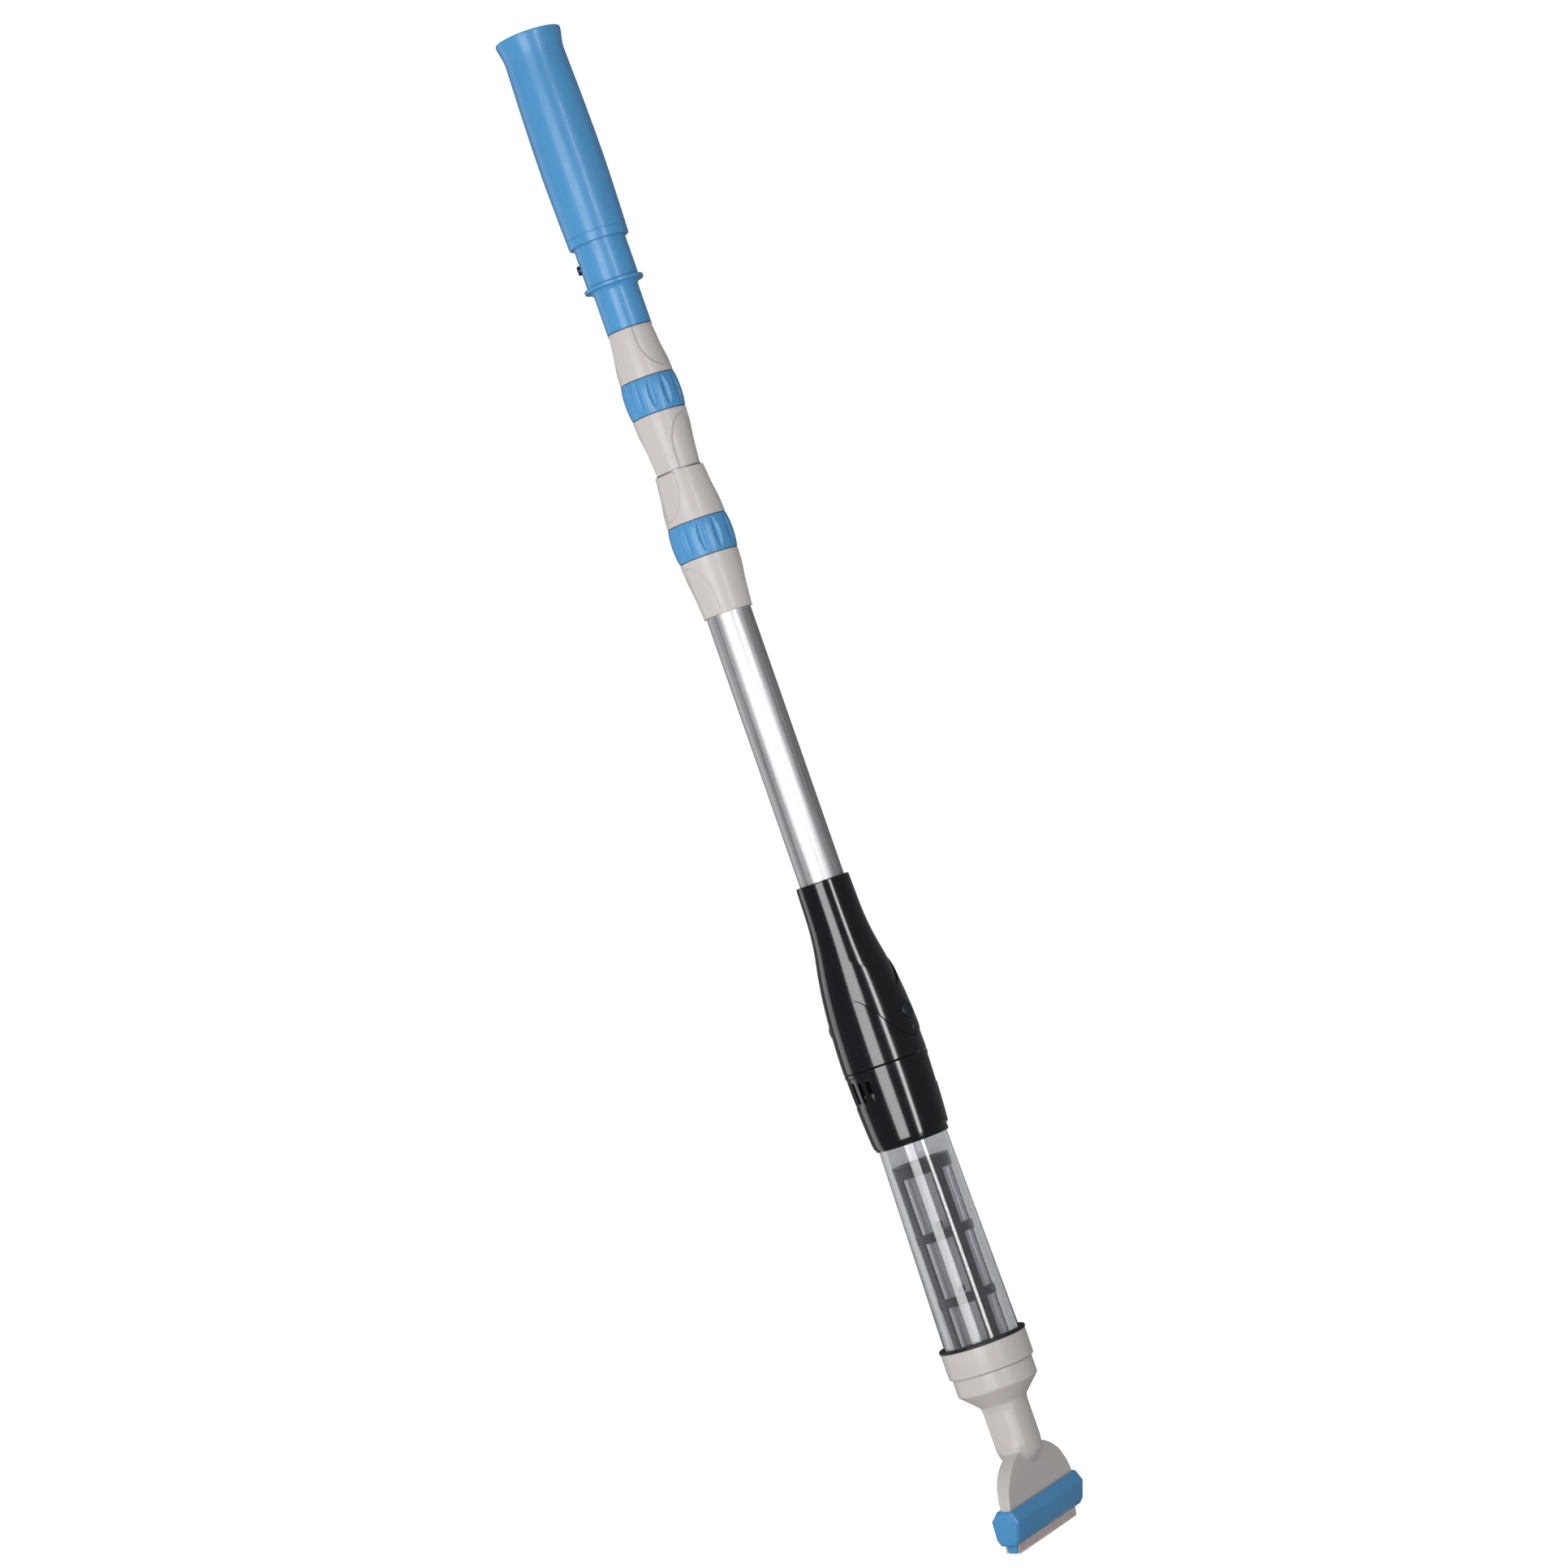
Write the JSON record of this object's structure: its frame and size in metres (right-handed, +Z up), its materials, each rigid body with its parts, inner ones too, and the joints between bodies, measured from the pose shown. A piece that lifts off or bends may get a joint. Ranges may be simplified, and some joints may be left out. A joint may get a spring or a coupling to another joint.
{
  "type": "cordless pool vacuum with telescopic pole",
  "caption": "Hand-held cordless pool vacuum: suction mouth with brush head, clear debris chamber with filter, battery motor housing, and a twist-lock telescopic pole with a hollow handle.",
  "frame": {"origin": "on the pole's axis, level with the lowest edge of the brush", "axes": "+Z up along the pole towards the handle, X along the brush, -Y towards the front with the power button"},
  "size_m": [0.094, 0.056, 0.9768],
  "materials": {
    "blue_plastic": "satin blue moulding",
    "grey_plastic": "warm light grey moulding, satin",
    "black_gloss": "blue black, high gloss",
    "clear_plastic": "smoky clear",
    "dark_plastic": "dark navy grey, satin",
    "seal_rubber": "black rubber, semi gloss",
    "aluminium": "satin drawn tube",
    "steel": "bright steel",
    "mesh_steel": "fine woven mesh",
    "bristle": "translucent pale bristles",
    "cell_wrap": "green shrink wrap",
    "board_green": "green board",
    "white_plastic": "white acetal",
    "light_lens": "clear lens"
  },
  "bodies": {
    "vacuum_unit": {"outer_tube": "aluminium", "lower_lock_base": "grey_plastic", "lower_lock_collet": "white_plastic", "lower_lock_cap": "grey_plastic", "tube_screws": "steel", "housing_upper": "black_gloss", "housing_lower": "black_gloss", "switch_pad": "black_gloss", "push_switch": "dark_plastic", "charge_light": "light_lens", "charge_jack": "dark_plastic", "battery_cells": "cell_wrap", "battery_frame": "white_plastic", "circuit_board": "board_green", "motor_bulkhead": "dark_plastic", "shaft_seal": "seal_rubber", "motor": "steel", "inlet_grille": "dark_plastic", "housing_gasket": "seal_rubber"},
    "middle_stage": {"middle_tube": "aluminium", "middle_guide": "white_plastic", "upper_lock_base": "grey_plastic", "upper_lock_collet": "white_plastic", "upper_lock_cap": "grey_plastic"},
    "inner_stage": {"inner_tube": "aluminium", "inner_guide": "white_plastic", "handle_adapter": "blue_plastic", "handle_grip": "blue_plastic", "snap_clip": "steel"},
    "lower_ring": {"lower_lock_ring": "blue_plastic"},
    "upper_ring": {"upper_lock_ring": "blue_plastic"},
    "snap": {"snap_button": "dark_plastic"},
    "switch": {"power_button": "dark_plastic"},
    "plug": {"jack_plug": "seal_rubber"},
    "rotor": {"impeller": "white_plastic", "motor_shaft": "steel"},
    "chamber": {"debris_chamber": "clear_plastic", "coupling_ring": "black_gloss", "coupling_gasket": "seal_rubber"},
    "nozzle": {"nozzle_collar": "grey_plastic", "nozzle_body": "grey_plastic", "seal_ring": "seal_rubber", "nozzle_o_ring": "seal_rubber", "filter_cage": "dark_plastic", "filter_screen": "mesh_steel", "screen_studs": "dark_plastic", "valve_pin": "steel"},
    "valve": {"valve_flap": "seal_rubber"},
    "brush": {"brush_hood": "blue_plastic", "front_bristles": "bristle", "rear_bristles": "bristle", "end_blocks": "blue_plastic"}
  },
  "joints": [
    {"name": "middle_extend", "type": "slide", "parent": "vacuum_unit", "child": "middle_stage", "axis": [0, 0, 1], "range_m": [0, 0.17]},
    {"name": "inner_extend", "type": "slide", "parent": "middle_stage", "child": "inner_stage", "axis": [0, 0, 1], "range_m": [0, 0.22]},
    {"name": "lower_lock_twist", "type": "hinge", "parent": "vacuum_unit", "child": "lower_ring", "pos_m": [0, 0, 0.64762], "axis": [0, 0, 1], "range_deg": [0, 90]},
    {"name": "upper_lock_twist", "type": "hinge", "parent": "middle_stage", "child": "upper_ring", "pos_m": [0, 0, 0.74062], "axis": [0, 0, 1], "range_deg": [0, 90]},
    {"name": "snap_press", "type": "slide", "parent": "inner_stage", "child": "snap", "axis": [0.5, -0.866, 0], "range_m": [0, 0.0035], "stiffness_N_per_m": 900, "springref_m": -0.002, "deforming": ["snap_clip"]},
    {"name": "switch_press", "type": "slide", "parent": "vacuum_unit", "child": "switch", "axis": [0, 1, 0], "range_m": [0, 0.0012], "stiffness_N_per_m": 1500, "springref_m": -0.0005},
    {"name": "plug_pull", "type": "slide", "parent": "vacuum_unit", "child": "plug", "axis": [0, 1, 0], "range_m": [0, 0.012]},
    {"name": "impeller_spin", "type": "hinge", "parent": "vacuum_unit", "child": "rotor", "pos_m": [0, 0, 0.30552], "axis": [0, 0, 1], "continuous": true},
    {"name": "chamber_twist", "type": "hinge", "parent": "vacuum_unit", "child": "chamber", "pos_m": [0, 0, 0.25552], "axis": [0, 0, 1], "range_deg": [0, 30]},
    {"name": "nozzle_pull", "type": "slide", "parent": "chamber", "child": "nozzle", "axis": [0, 0, -1], "range_m": [0, 0.14]},
    {"name": "valve_swing", "type": "hinge", "parent": "nozzle", "child": "valve", "pos_m": [0, 0.013, 0.09612], "axis": [-1, 0, 0], "range_deg": [0, 50]},
    {"name": "brush_pull", "type": "slide", "parent": "nozzle", "child": "brush", "axis": [0, 0.2079, -0.9781], "range_m": [0, 0.03]}
  ]
}
